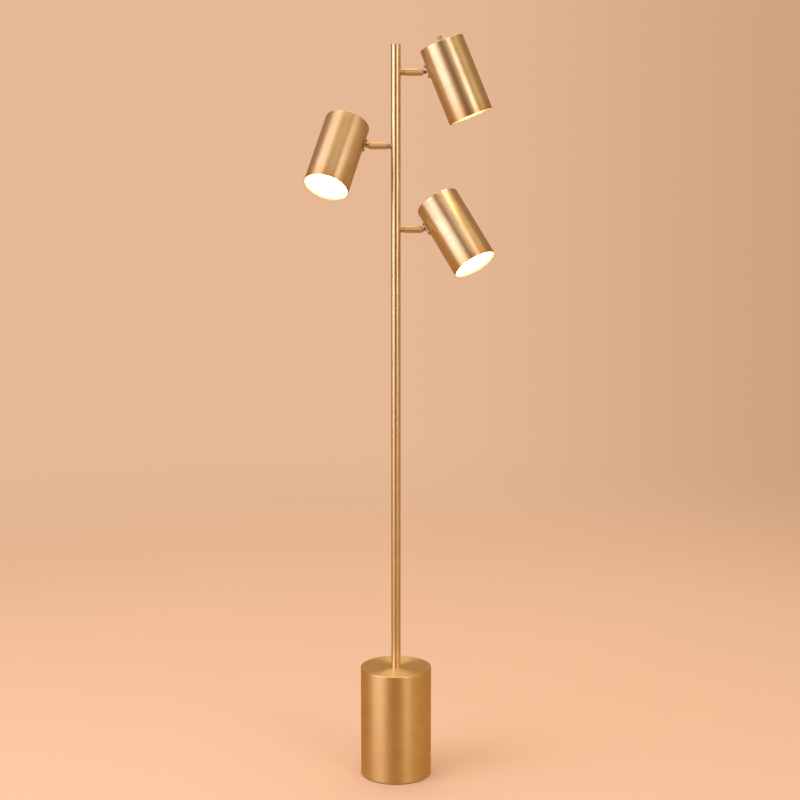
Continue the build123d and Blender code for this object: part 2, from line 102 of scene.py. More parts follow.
class Shading:
    def __init__(self, tree):
        self.tree = tree

    def node(self, kind, settings=None, sockets=None):
        made = self.tree.nodes.new(kind)
        for key, value in (settings or {}).items():
            setattr(made, key, value)
        for key, value in (sockets or {}).items():
            socket = self.find(made.inputs, key)
            if isinstance(value, Wire):
                self.tree.links.new(value.socket, socket)
            elif socket.type == "RGBA" and len(value) == 3:
                socket.default_value = (*value, 1)
            else:
                socket.default_value = value
        return Outputs(self, made)

    def find(self, sockets, key):
        if isinstance(key, int):
            return sockets[key]
        named = [s for s in sockets if s.identifier == key] or [s for s in sockets if s.name == key]
        return named[0]

    def maths(self, operation, *values):
        return self.node("ShaderNodeMath", {"operation": operation}, dict(enumerate(values)))[0]

    def mix(self, share, first, second, blend="MIX"):
        settings = {"data_type": "RGBA", "blend_type": blend}
        sockets = {"Factor_Float": share, "A_Color": first, "B_Color": second}
        return self.node("ShaderNodeMix", settings, sockets)["Result_Color"]

    def between(self, value, start, end):
        # 0 at the start and 1 at the end, which may be the lower of the two
        sockets = {"Value": value, "From Min": start, "From Max": end}
        return self.node("ShaderNodeMapRange", {"interpolation_type": "SMOOTHSTEP"}, sockets)["Result"]

    def noise(self, place, scale, detail, roughness):
        sockets = {"Vector": place, "Scale": scale, "Detail": detail, "Roughness": roughness}
        return self.node("ShaderNodeTexNoise", {}, sockets)["Fac"]

    def bump(self, height, strength, distance):
        sockets = {"Strength": strength, "Distance": distance, "Height": height}
        return self.node("ShaderNodeBump", {}, sockets)["Normal"]

    def spot(self):
        return self.node("ShaderNodeTexCoord")["Object"]

    def axes(self, place):
        parts = self.node("ShaderNodeSeparateXYZ", {}, {"Vector": place})
        return parts["X"], parts["Y"], parts["Z"]

    def spread(self, x, y, z):
        return self.node("ShaderNodeCombineXYZ", {}, {"X": x, "Y": y, "Z": z})["Vector"]


def newMaterial(name):
    material = bpy.data.materials.new(name)
    material.use_nodes = True
    material.node_tree.nodes.clear()
    return material, Shading(material.node_tree)


def surface(shading, sockets):
    shader = shading.node("ShaderNodeBsdfPrincipled", {}, sockets)
    shading.node("ShaderNodeOutputMaterial", {}, {"Surface": shader["BSDF"]})


# brushed brass, turned about each piece's own z axis

brassTones = {
    "plain": (0.87, 0.665, 0.435),
    "aged": (0.71, 0.50, 0.28),
    "rubbed": (0.95, 0.80, 0.62),
    "warmed": (0.80, 0.42, 0.13),  # painted glow of the bulb's warm light near a shade's mouth
    "enamel": (0.82, 0.74, 0.60),  # white inside of a shade
    # painted shade of the enamel near a shade's mouth
    "thinEnamel": (0.17, 0.145, 0.085),
}
brassMarks = {
    "strokeScale": 16.0, "strokeLines": 0.28, "bandScale": 9.0, "bandLines": 210.0,
    "cloudScale": 24.0, "speckScale": 210.0, "cloudShare": 0.80, "bandShare": 0.20,
    "speckShare": 0.2, "strokeShare": 0.30, "fineShare": 0.28, "rimShare": 0.8, "warmShare": 0.55,
    "bump": 0.15, "depth": 0.03 * mm, "coat": 0.12, "coatRoughness": 0.22,
}


def brushedBrass(name, gloss, grain, lines, ageing, marks=26.0, rims=(), rimWidth=None,
                 warmed=None, enamelled=None, tintAndPaintedLight=(1.0, 1.0, 1.0)):
    look = brassMarks
    material, s = newMaterial(name)
    spot = s.spot()
    x, y, z = s.axes(spot)
    radius = (x * x + y * y) ** 0.5
    along = z + radius  # steps out over flat ends and along the sides
    fine = s.noise(s.spread(x * marks, y * marks, along * lines), 1.0, 3.0, 0.65)
    wide = look["strokeScale"]
    strokes = s.noise(s.spread(x * wide, y * wide, along * lines * look["strokeLines"]), 1.0, 3.0, 0.7)
    wide = look["bandScale"]
    bands = s.noise(s.spread(x * wide, y * wide, along * look["bandLines"]), 1.0, 2.0, 0.6)
    clouds = s.noise(spot, look["cloudScale"], 4.0, 0.6)
    specks = s.noise(spot, look["speckScale"], 3.0, 0.7)
    age = s.between(clouds * look["cloudShare"] + bands * look["bandShare"], 0.32, 0.70) * ageing
    age = age + s.between(specks, 0.60, 0.76) * ageing * look["speckShare"]
    age = age + (s.between(strokes, 0.30, 0.70) - 0.5) * look["strokeShare"]
    age = s.node("ShaderNodeClamp", {}, {"Value": age})["Result"]
    tone = s.mix(age, brassTones["plain"], brassTones["aged"])
    tone = s.mix(s.between(fine, 0.5, 0.8) * look["fineShare"], tone, brassTones["rubbed"])
    rough = gloss + fine * 0.08 + strokes * 0.10 + age * 0.08 - 0.09
    worn = None
    for rim in rims:
        near = s.between(s.maths("ABSOLUTE", z - rim), 2.4 * rimWidth, rimWidth * 0.5)
        worn = near if worn is None else s.maths("MAXIMUM", worn, near)
    if worn is not None:
        tone = s.mix(worn * s.between(specks, 0.30, 0.62) * look["rimShare"], tone, brassTones["rubbed"])
        rough = rough - worn * 0.05
    # painted glow: the brass turns orange towards a shade's mouth, as if lit by the bulb
    if warmed is not None:
        tone = s.mix(s.between(z, *warmed) * look["warmShare"], tone, brassTones["warmed"])
    # a tint over the whole piece; on the neck it is painted shade, on the drum a painted warm reflection
    tone = s.mix(1.0, tone, tintAndPaintedLight, "MULTIPLY")
    metal = 1.0
    if enamelled is not None:
        inside = (radius < enamelled["radius"]) * (z > enamelled["from"])
        shadeTowardsMouth = s.between(z, *enamelled["thinning"])  # painted shade: the enamel darkens towards the mouth
        tone = s.mix(inside, tone, s.mix(shadeTowardsMouth, brassTones["enamel"], brassTones["thinEnamel"]))
        rough = rough + inside * 0.12
        metal = 1.0 - inside
    surface(s, {
        "Base Color": tone, "Metallic": metal, "Roughness": rough,
        "Normal": s.bump(fine * 0.55 + strokes * 0.3 + bands * 0.15, look["bump"], look["depth"]),
        "Anisotropic": grain, "Anisotropic Rotation": 0.25,
        "Coat Weight": look["coat"], "Coat Roughness": look["coatRoughness"],
    })
    return material


def plainMetal(name, tone, dark, gloss, grainScale=900.0, metal=1.0, wear=0.5):
    material, s = newMaterial(name)
    spot = s.spot()
    clouds = s.noise(spot, 60.0, 4.0, 0.6)
    grains = s.noise(spot, grainScale, 3.0, 0.6)
    age = s.between(clouds, 0.35, 0.7) * wear
    surface(s, {
        "Base Color": s.mix(age, tone, dark), "Metallic": metal,
        "Roughness": gloss + grains * 0.12 + age * 0.1, "Normal": s.bump(grains, 0.4, 0.05 * mm),
    })
    return material


def mouldedPlastic(name, tone, dust, gloss, grainScale):
    material, s = newMaterial(name)
    spot = s.spot()
    grains = s.noise(spot, grainScale, 3.0, 0.65)
    clouds = s.noise(spot, 45.0, 3.0, 0.6)
    surface(s, {
        "Base Color": s.mix(s.between(clouds, 0.4, 0.75) * 0.5, tone, dust),
        "Roughness": gloss + grains * 0.15, "Normal": s.bump(grains, 0.5, 0.08 * mm),
    })
    return material


bulbLight = {
    "strength": 11.0, "tip": (1.0, 0.84, 0.56), "neck": (1.0, 0.70, 0.36), "glass": (0.92, 0.90, 0.86),
}


def opalGlass(name, low, high):
    material, s = newMaterial(name)
    spot = s.spot()
    z = s.axes(spot)[2]
    clouds = s.noise(spot, 40.0, 2.0, 0.5)
    tint = s.mix(s.between(z + clouds * 6 * mm, low, high), bulbLight["neck"], bulbLight["tip"])
    surface(s, {
        "Base Color": bulbLight["glass"], "Roughness": 0.3 + clouds * 0.1,
        "Emission Color": tint, "Emission Strength": bulbLight["strength"],
    })
    return material


# meshes

sharpFrom = {"turned": 32, "cut": 35, "thread": 50}  # degrees from which an edge stays sharp


def rounded(outline, closed, steps=5):
    # an outline point is (radius, height) or (radius, height, rounding)
    points = []
    count = len(outline)
    for i, (px, py, *rounding) in enumerate(outline):
        inner = closed or 0 < i < count - 1
        if not rounding or not inner:
            points.append((px, py))
            continue
        corner = Vector((px, py))
        before = Vector(outline[i - 1][:2]) - corner
        after = Vector(outline[(i + 1) % count][:2]) - corner
        half = before.angle(after) / 2
        cut = min(rounding[0] / tan(half), 0.48 * before.length, 0.48 * after.length)
        size = cut * tan(half)
        centre = corner + (before.normalized() + after.normalized()).normalized() * size / sin(half)
        first = corner + before.normalized() * cut - centre
        last = corner + after.normalized() * cut - centre
        for step in range(steps + 1):
            arm = first.lerp(last, step / steps).normalized() * size
            points.append(tuple(centre + arm))
    return points


def arcPoints(radius, start, end, steps, centre=(0, 0)):
    angles = [radians(start + (end - start) * k / steps) for k in range(steps + 1)]
    return [(centre[0] + radius * cos(a), centre[1] + radius * sin(a)) for a in angles]


def addObject(name, mesh, place):
    piece = bpy.data.objects.new(name, mesh)
    bpy.context.scene.collection.objects.link(piece)
    piece.matrix_world = place
    return piece


def smooth(mesh, sharpness):
    mesh.polygons.foreach_set("use_smooth", [True] * len(mesh.polygons))
    mesh.set_sharp_from_angle(angle=radians(sharpness))
    mesh.update()


def meshFrom(name, bm, sharpness=sharpFrom["turned"]):
    bmesh.ops.recalc_face_normals(bm, faces=bm.faces)
    mesh = bpy.data.meshes.new(name)
    bm.to_mesh(mesh)
    bm.free()
    smooth(mesh, sharpness)
    return mesh


def turned(name, outline, place, steps=96, closed=True, shape=None, sharpness=sharpFrom["turned"]):
    # turns an outline about the piece's z axis; shape(angle, radius, height) may change a radius
    bm = bmesh.new()
    rings = []
    for r, z in rounded(outline, closed):
        if r < tiny:
            rings.append([bm.verts.new((0, 0, z))])
            continue
        ring = []
        for k in range(steps):
            angle = 2 * pi * k / steps
            size = shape(angle, r, z) if shape else r
            ring.append(bm.verts.new((size * cos(angle), size * sin(angle), z)))
        rings.append(ring)
    pairs = list(zip(rings, rings[1:]))
    if closed:
        pairs.append((rings[-1], rings[0]))
    for low, high in pairs:
        if len(low) == 1 and len(high) == 1:
            continue
        for k in range(steps):
            after = (k + 1) % steps
            if len(low) == 1:
                bm.faces.new((low[0], high[after], high[k]))
            elif len(high) == 1:
                bm.faces.new((low[k], low[after], high[0]))
            else:
                bm.faces.new((low[k], low[after], high[after], high[k]))
    return addObject(name, meshFrom(name, bm, sharpness), place)


def slab(name, outline, low, high, edge, place, steps=3):
    # a convex flat outline made solid between two heights, its edges rounded
    count = len(outline)
    middle = sum((Vector(p) for p in outline), Vector((0, 0))) / count
    normals = []
    for i in range(count):
        run = Vector(outline[(i + 1) % count]) - Vector(outline[i - 1])
        normal = Vector((run.y, -run.x)).normalized()
        normals.append(normal if normal.dot(Vector(outline[i]) - middle) > 0 else -normal)
    levels = []
    for k in range(steps + 1):
        swing = pi / 2 * k / steps
        levels.append((low + edge * (1 - sin(swing)), edge * (1 - cos(swing))))
    levels = levels[::-1] + [(low + high - level, inset) for level, inset in levels]
    bm = bmesh.new()
    rings = []
    for level, inset in levels:
        ring = [bm.verts.new((*(Vector(p) - n * inset), level)) for p, n in zip(outline, normals)]
        rings.append(ring)
    bm.faces.new(rings[0])
    bm.faces.new(rings[-1])
    for first, second in zip(rings, rings[1:]):
        for k in range(count):
            after = (k + 1) % count
            bm.faces.new((first[k], first[after], second[after], second[k]))
    return addObject(name, meshFrom(name, bm), place)


def combine(piece, others, operation):
    # joins or cuts with other meshes, which are used up
    for other in others:
        change = piece.modifiers.new(operation.lower(), "BOOLEAN")
        change.operation = operation
        change.object = other
        change.solver = "EXACT"
    bpy.context.view_layer.update()
    whole = piece.evaluated_get(bpy.context.evaluated_depsgraph_get())
    mesh = bpy.data.meshes.new_from_object(whole)
    piece.modifiers.clear()
    piece.data = mesh
    smooth(mesh, sharpFrom["cut"])
    for other in others:
        bpy.data.objects.remove(other)


def joined(name, parts, place):
    # one object of parts that don't touch
    bm = bmesh.new()
    for part in parts:
        mesh = part.data.copy()
        mesh.transform(place.inverted() @ part.matrix_world)
        bm.from_mesh(mesh)
        bpy.data.meshes.remove(mesh)
        bpy.data.objects.remove(part)
    return addObject(name, meshFrom(name, bm, sharpFrom["cut"]), place)


def placed(origin, z, x):
    y = z.cross(x)
    return Matrix((
        (x.x, y.x, z.x, origin.x),
        (x.y, y.y, z.y, origin.y),
        (x.z, y.z, z.z, origin.z),
        (0, 0, 0, 1),
    ))


def reach(node, place):
    # lowest and highest corner of a CAD node, in a piece's own axes
    back = place.inverted()
    corners = [back @ vertex.co for vertex in nodes[node].data.vertices]
    return Vector(map(min, zip(*corners))), Vector(map(max, zip(*corners)))


def dress(piece, material, body, node):
    # gives a piece its finish and its body, and hides the CAD node that it stands for
    piece.data.materials.clear()
    piece.data.materials.append(material)
    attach(piece, body)
    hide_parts(node)


# finishes shared by the small and the hidden pieces

smallBrass = brushedBrass("fittingBrass", gloss=0.34, grain=0.80, lines=3200.0, ageing=0.55, marks=80.0,
                          tintAndPaintedLight=(0.93, 0.90, 0.84))
zincSteel = plainMetal("zincSteel", (0.62, 0.62, 0.60), (0.42, 0.42, 0.40), 0.32)
darkSteel = plainMetal("darkSteel", (0.23, 0.17, 0.115), (0.10, 0.075, 0.055), 0.30, wear=0.7)
capMetal = plainMetal("capMetal", (0.72, 0.71, 0.68), (0.52, 0.50, 0.46), 0.26)
castIron = plainMetal("castIron", (0.10, 0.10, 0.105), (0.05, 0.045, 0.045), 0.62, grainScale=420.0,
                      metal=0.4)
footFoam = mouldedPlastic("footFoam", (0.022, 0.021, 0.020), (0.05, 0.045, 0.04), 0.8, 1500.0)
blackPlastic = mouldedPlastic("blackPlastic", (0.018, 0.018, 0.019), (0.035, 0.034, 0.032), 0.42, 2200.0)
hiddenFinish = {
    "zinc_steel": zincSteel, "dark_steel": darkSteel, "bulb_cap_metal": capMetal, "raw_iron": castIron,
    "foam_pad": footFoam, "black_plastic": blackPlastic,
}
print("finishes made")


# drum base

drumLow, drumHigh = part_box("base_shell")
drum = {
    "radius": drumHigh.x, "low": drumLow.z, "top": drumHigh.z, "wall": 1.2 * mm, "topWall": 2.0 * mm,
    "edge": 1.0 * mm, "hem": 0.4 * mm, "rodHole": 5.3 * mm, "rimWidth": 1.0 * mm, "steps": 256,
}
inletLow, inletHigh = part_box("cord_bushing")
inlet = {
    "height": (inletLow.z + inletHigh.z) / 2, "flange": (inletHigh.x - inletLow.x) / 2,
    "standOut": inletHigh.y - drumHigh.y, "neck": 4.8 * mm, "bore": 3.2 * mm, "boreEdge": 0.6 * mm,
    "opening": 0.78,  # half height of the drum's opening behind the flange, as a share of the neck
    "seat": 0.5 * mm, "rim": 0.45, "rimEdge": 0.5 * mm, "dome": 1.1 * mm, "domeEdge": 0.7 * mm, "steps": 72,
}
footPad = {"edge": 0.45, "steps": 192}  # the edge is a share of the pad's height


def makeDrum():
    outer, inner = drum["radius"], drum["radius"] - drum["wall"]
    under = drum["top"] - drum["topWall"]
    window = inlet["neck"] * inlet["opening"]
    low, high = inlet["height"] - window, inlet["height"] + window
    outline = [
        (outer, drum["low"], drum["hem"]), (outer, low), (outer, high),
        (outer, drum["top"], drum["edge"]), (drum["rodHole"], drum["top"]), (drum["rodHole"], under),
        (inner, under, drum["edge"]), (inner, high), (inner, low), (inner, drum["low"]),
    ]
    piece = turned("drumShell", outline, upright, drum["steps"])
    bm = bmesh.new()
    bm.from_mesh(piece.data)
    windowFaces = []
    for face in bm.faces:
        centre = face.calc_center_median()
        if low < centre.z < high and abs(atan2(centre.x, centre.y)) < window / outer:
            windowFaces.append(face)
    bmesh.ops.delete(bm, geom=windowFaces, context="FACES")
    edges = [edge for edge in bm.edges if edge.is_boundary]
    bmesh.ops.bridge_loops(bm, edges=edges)
    piece.data = meshFrom("drumShell", bm)
    # the orange tint is a painted warm reflection of the floor
    finish = brushedBrass("drumBrass", gloss=0.45, grain=0.78, lines=2100.0, ageing=0.45,
                          rims=(drum["top"],), rimWidth=drum["rimWidth"], tintAndPaintedLight=(1.06, 1.0, 0.80))
    dress(piece, finish, "stand", "base_shell")


def makeInlet():
    # the bushing's flange is domed outside and sits on the drum's curve
    place = placed(Vector((0, drum["radius"], inlet["height"])), Vector((0, 1, 0)), Vector((1, 0, 0)))
    neck, flange, bore, out = inlet["neck"], inlet["flange"], inlet["bore"], inlet["standOut"]
    back = out - (inletHigh.y - inletLow.y)
    seat = -inlet["seat"]
    outline = [
        (bore, back), (neck, back), (neck, seat), (flange, seat),
        (flange, out * inlet["rim"], inlet["rimEdge"]), (flange - inlet["dome"], out, inlet["domeEdge"]),
        (bore, out, inlet["boreEdge"]),
    ]
    piece = turned("cordBushing", outline, place, inlet["steps"])
    for vertex in piece.data.vertices:
        if abs(vertex.co.z - seat) < tiny:
            vertex.co.z = sqrt(drum["radius"] ** 2 - vertex.co.x ** 2) - drum["radius"]
    dress(piece, blackPlastic, "stand", "cord_bushing")


def makeFootPad():
    low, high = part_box("foot_pad")
    edge = footPad["edge"] * (high.z - low.z)
    outline = [(0, low.z), (high.x, low.z, edge), (high.x, high.z, edge), (0, high.z)]
    piece = turned("footPad", outline, upright, footPad["steps"], closed=False)
    dress(piece, footFoam, "stand", "foot_pad")


makeDrum()
makeInlet()
makeFootPad()
print("base made")


# pole

poleLow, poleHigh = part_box("pole")
capLow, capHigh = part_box("pole_top_cap")
pole = {
    "radius": poleHigh.x, "low": poleLow.z, "top": poleHigh.z, "wall": 1.2 * mm, "edge": 0.25 * mm,
    "capFit": 0.05 * mm, "capStep": 0.1 * mm, "capEdge": 0.5 * mm, "spigotEdge": 0.4 * mm, "steps": 96,
}


def makePole():
    outer, inner = pole["radius"], pole["radius"] - pole["wall"]
    outline = [
        (outer, pole["low"], pole["edge"]), (outer, pole["top"], pole["edge"]),
        (inner, pole["top"]), (inner, pole["low"]),
    ]
    piece = turned("poleTube", outline, upright, pole["steps"])
    finish = brushedBrass("poleBrass", gloss=0.36, grain=0.86, lines=1900.0, ageing=0.40, marks=60.0)
    dress(piece, finish, "stand", "pole")
    spigot = inner - pole["capFit"]
    outline = [
        (0, capLow.z), (spigot, capLow.z, pole["spigotEdge"]), (spigot, pole["top"]),
        (outer - pole["capStep"], pole["top"]), (outer, pole["top"] + pole["capStep"]),
        (outer, capHigh.z, pole["capEdge"]), (0, capHigh.z),
    ]
    cap = turned("poleCap", outline, upright, pole["steps"], closed=False)
    dress(cap, finish, "stand", "pole_top_cap")


makePole()
print("pole made")


# heads: each is worked out from its three joints

class Head:
    def __init__(self, name):
        self.name = name
        roll, tilt, switch = (joints[f"{name}_{kind}"] for kind in ("roll", "tilt", "switch"))
        start, pivot = Vector(roll["pos_m"]), Vector(tilt["pos_m"])
        side = 1 if start.x > 0 else -1
        out = Vector((side, 0, 0))
        pin = Vector(tilt["axis"]) * -side
        aim = -Vector(switch["axis"])
        back = Vector(switch["pos_m"])
        setback = (pivot - back).dot(aim)
        across = pivot - back - aim * setback
        towardsArm = across.normalized()
        self.pivotOut = across.length
        self.pivotReach = abs(pivot.x)
        self.arm = placed(Vector((0, 0, start.z)), out, pin)
        self.knuckle = placed(pivot, pin, out)
        self.tongue = placed(pivot, pin, -towardsArm)
        self.shade = placed(back, aim, towardsArm)
        self.plate = placed(back + aim * setback, towardsArm, aim)
        self.swivel, self.spot, self.knob = (f"{name}_{kind}" for kind in ("swivel", "spot", "knob"))

    def node(self, kind):
        return f"{self.name}_{kind}"


shade = {
    "wall": 1.0 * mm, "back": 1.2 * mm, "edge": 1.6 * mm, "innerEdge": 1.0 * mm, "lip": 0.42 * mm,
    "hole": 3.55 * mm, "backRim": 0.3 * mm, "rimWidth": 0.7 * mm, "steps": 192,
    "warmed": (26 * mm, 2 * mm), "thinning": (12 * mm, 1 * mm),  # painted glow and painted shade of the enamel, both from the mouth
    "enamelSkin": 0.15 * mm, "enamelFrom": 0.9,  # the second is a share of the back's thickness
}


def makeShade(head):
    high = reach(head.node("shade"), head.shade)[1]
    outer, length = high.y, high.z
    inner = outer - shade["wall"]
    outline = [
        (shade["hole"], 0), (outer, 0, shade["edge"]), (outer, length, shade["lip"]),
        (inner, length, shade["lip"]), (inner, shade["back"], shade["innerEdge"]),
        (shade["hole"], shade["back"]),
    ]
    piece = turned(head.name + "Shade", outline, head.shade, shade["steps"])
    enamel = {
        "radius": inner + shade["enamelSkin"], "from": shade["back"] * shade["enamelFrom"],
        "thinning": [length - depth for depth in shade["thinning"]],
    }
    finish = brushedBrass(
        head.name + "ShadeBrass", gloss=0.37, grain=0.88, lines=2400.0, ageing=0.42,
        rims=(shade["backRim"], length), rimWidth=shade["rimWidth"],
        warmed=[length - depth for depth in shade["warmed"]], enamelled=enamel,
    )
    dress(piece, finish, head.spot, head.node("shade"))


arm = {
    "neck": 6.2 * mm, "journal": 4.8 * mm, "wireBore": 2.6 * mm, "edge": 0.25 * mm, "gap": 0.4 * mm,
    "sink": 0.02 * mm, "stubSteps": 72, "sleeveSteps": 96, "sleeveBore": 4.85 * mm, "chamber": 6.0 * mm,
    "chamberStart": 3.9 * mm, "rearEdge": 0.4 * mm, "frontEdge": 0.15 * mm,
}
# the neck's darker tint is painted shade
neckBrass = brushedBrass("neckBrass", gloss=0.34, grain=0.75, lines=3200.0, ageing=1.0, marks=80.0,
                         tintAndPaintedLight=(0.76, 0.70, 0.60))


def makeArm(head):
    stubEnd = reach(head.node("arm_stub"), head.arm)[1].z
    sleeveLow, sleeveHigh = reach(head.node("arm_sleeve"), head.arm)
    neckEnd = sleeveLow.z - arm["gap"]
    start = pole["radius"]
    outline = [
        (arm["wireBore"], start), (arm["neck"], start), (arm["neck"], neckEnd, arm["edge"]),
        (arm["journal"], neckEnd), (arm["journal"], stubEnd, arm["edge"]), (arm["wireBore"], stubEnd),
    ]
    stub = turned(head.name + "ArmNeck", outline, head.arm, arm["stubSteps"])
    across = head.arm.to_3x3().transposed() @ Vector((0, 1, 0))
    for vertex in stub.data.vertices:
        if abs(vertex.co.z - start) < tiny:  # the neck's end follows the pole's side
            vertex.co.z = sqrt(max(start ** 2 - vertex.co.dot(across) ** 2, 0)) - arm["sink"]
    dress(stub, neckBrass, "stand", head.node("arm_stub"))
    outer, end = sleeveHigh.y, sleeveHigh.z
    chamberStart = stubEnd - arm["chamberStart"]
    outline = [
        (arm["sleeveBore"], sleeveLow.z), (outer, sleeveLow.z, arm["rearEdge"]),
        (outer, end, arm["frontEdge"]), (arm["chamber"], end), (arm["chamber"], chamberStart),
        (arm["sleeveBore"], chamberStart),
    ]
    sleeve = turned(head.name + "ArmSleeve", outline, head.arm, arm["sleeveSteps"])
    dress(sleeve, smallBrass, head.swivel, head.node("arm_sleeve"))
    return sleeveHigh


knuckle = {
    "plug": 5.95 * mm, "plugDepth": 7.6 * mm, "plugEdge": 0.3 * mm, "wireBore": 1.8 * mm,
    "seatEdge": 0.12 * mm, "shoulder": (0.5 * mm, 0.35 * mm), "shoulderEdge": 0.3 * mm,
    "nose": 1.8 * mm, "noseTip": 4.6 * mm, "noseEdge": 0.35 * mm, "steps": 72,
    "earRadius": 3.0 * mm, "earHalf": 3.95 * mm, "earRoot": 1.4 * mm, "earEdge": 0.3 * mm, "earSteps": 20,
    "slot": 3.3 * mm, "pinBore": 1.55 * mm, "drillHalf": 9 * mm,
}
knuckleBrass = brushedBrass("knuckleBrass", gloss=0.34, grain=0.3, lines=2600.0, ageing=1.0, marks=120.0)


def makeKnuckle(head, sleeve):
    outer, end = sleeve.y, sleeve.z
    tip = end + knuckle["nose"]
    plugEnd = end - knuckle["plugDepth"]
    stepIn, stepOut = knuckle["shoulder"]
    outline = [
        (knuckle["wireBore"], plugEnd), (knuckle["plug"], plugEnd, knuckle["plugEdge"]),
        (knuckle["plug"], end), (outer, end, knuckle["seatEdge"]),
        (outer - stepIn, end + stepOut, knuckle["shoulderEdge"]),
        (knuckle["noseTip"], tip, knuckle["noseEdge"]), (knuckle["wireBore"], tip),
    ]
    nose = turned(head.name + "Knuckle", outline, head.arm, knuckle["steps"])
    rear = -(head.pivotReach - tip + knuckle["earRoot"])
    r, half, slot = knuckle["earRadius"], knuckle["earHalf"], knuckle["slot"] / 2
    profile = [(rear, -r)] + arcPoints(r, -90, 90, knuckle["earSteps"]) + [(rear, r)]
    bore, drill = knuckle["pinBore"], knuckle["drillHalf"]
    ears = []
    for side in (-1, 1):
        low, high = sorted((side * slot, side * half))
        ear = slab("ear", profile, low, high, knuckle["earEdge"], head.knuckle)
        outline = [(0, -drill), (bore, -drill), (bore, drill), (0, drill)]
        hole = turned("hole", outline, head.knuckle, 32, closed=False)
        combine(ear, [hole], "DIFFERENCE")
        ears.append(ear)
    combine(nose, ears, "UNION")
    dress(nose, knuckleBrass, head.swivel, head.node("knuckle_fork"))


# a screw's head is a rim and a flatter crown, both as shares of the head's height and radius
screw = {
    "shank": 1.5 * mm, "tipEdge": 0.25 * mm, "seatEdge": 0.15 * mm, "rim": 0.45, "rimEdge": 0.3 * mm,
    "crown": 0.72, "crownHeight": 0.92, "crownEdge": 0.9 * mm, "slotWidth": 0.8 * mm,
    "slotDepth": 0.75 * mm, "steps": 48,
}


def makeScrew(name, place, length, radius, height):
    shank = screw["shank"]
    outline = [
        (0, -length), (shank, -length, screw["tipEdge"]), (shank, 0), (radius, 0, screw["seatEdge"]),
        (radius, height * screw["rim"], screw["rimEdge"]),
        (radius * screw["crown"], height * screw["crownHeight"], screw["crownEdge"]), (0, height),
    ]
    piece = turned(name, outline, place, screw["steps"], closed=False)
    bm = bmesh.new()
    bmesh.ops.create_cube(bm, size=1)
    size = (screw["slotWidth"], 4 * radius, 2 * screw["slotDepth"])
    bmesh.ops.scale(bm, vec=size, verts=bm.verts)
    bmesh.ops.translate(bm, vec=(0, 0, height), verts=bm.verts)
    cutter = addObject("cutter", meshFrom("cutter", bm), place)
    combine(piece, [cutter], "DIFFERENCE")
    return piece


plate = {
    "length": 30 * mm, "width": 12 * mm, "thick": 1.4 * mm, "corner": 3 * mm, "cornerSteps": 8,
    "edge": 0.3 * mm, "standoff": 1.2 * mm, "boss": 3.2 * mm, "bossRoot": 0.6 * mm, "bossSteps": 40,
    "tongue": 3.0 * mm, "tongueEdge": 0.25 * mm, "screwsApart": 22 * mm, "screwPast": 2.7 * mm,
    "screwHead": 2.8 * mm, "screwHeight": 1.8 * mm, "slotTurns": (-16, 52),  # as the screws were left
    "pivotHead": 2.7 * mm, "pivotHeight": 1.7 * mm, "pivotTail": 0.5 * mm, "pivotTurn": 0.5,
}


def makePlate(head, radius):
    x, y, c = plate["length"] / 2, plate["width"] / 2, plate["corner"]
    outline = []
    for sx, sy, start in ((1, 1, 0), (-1, 1, 90), (-1, -1, 180), (1, -1, 270)):
        centre = (sx * (x - c), sy * (y - c))
        outline += arcPoints(c, start, start + 90, plate["cornerSteps"], centre)
    inner = radius + plate["standoff"]
    lift = Matrix.Translation((0, 0, inner))
    piece = slab(head.name + "SwivelPlate", outline, 0, plate["thick"], plate["edge"], head.plate @ lift)
    low, root, width = -plate["standoff"], plate["bossRoot"], plate["boss"]
    parts = []
    for side in (-1, 1):
        place = head.plate @ lift @ Matrix.Translation((side * plate["screwsApart"] / 2, 0, 0))
        outline = [(0, low), (width, low), (width, root), (0, root)]
        boss = turned("boss", outline, place, plate["bossSteps"], closed=False)
        for vertex in boss.data.vertices:  # the boss ends on the shade's curve
            if vertex.co.z < 0:
                vertex.co.z = sqrt(radius ** 2 - vertex.co.y ** 2) - inner
        parts.append(boss)
    r, half = knuckle["earRadius"], plate["tongue"] / 2
    foot = head.pivotOut - inner - plate["thick"] / 2
    profile = [(foot, r)] + arcPoints(r, 90, 270, knuckle["earSteps"]) + [(foot, -r)]
    parts.append(slab("tongue", profile, -half, half, plate["tongueEdge"], head.tongue))
    combine(piece, parts, "UNION")
    dress(piece, knuckleBrass, head.spot, head.node("swivel_plate"))


def makePlateScrews(head, radius):
    seat = radius + plate["standoff"] + plate["thick"]
    grip = seat - (radius - shade["wall"]) + plate["screwPast"]
    screws = []
    for side, turn in zip((-1, 1), plate["slotTurns"]):
        spot = Matrix.Translation((side * plate["screwsApart"] / 2, 0, seat))
        place = head.plate @ spot @ Matrix.Rotation(radians(turn), 4, "Z")
        screws.append(makeScrew("screw", place, grip, plate["screwHead"], plate["screwHeight"]))
    pair = joined(head.name + "PlateScrews", screws, head.plate)
    dress(pair, darkSteel, head.spot, head.node("plate_screws"))
    flip = Matrix.Translation((0, 0, -knuckle["earHalf"])) @ Matrix.Rotation(pi, 4, "X")
    place = head.knuckle @ (flip @ Matrix.Rotation(plate["pivotTurn"], 4, "Z"))
    length = 2 * knuckle["earHalf"] + plate["pivotTail"]
    pivot = makeScrew(head.name + "PivotScrew", place, length, plate["pivotHead"], plate["pivotHeight"])
    dress(pivot, darkSteel, head.swivel, head.node("pivot_screw"))


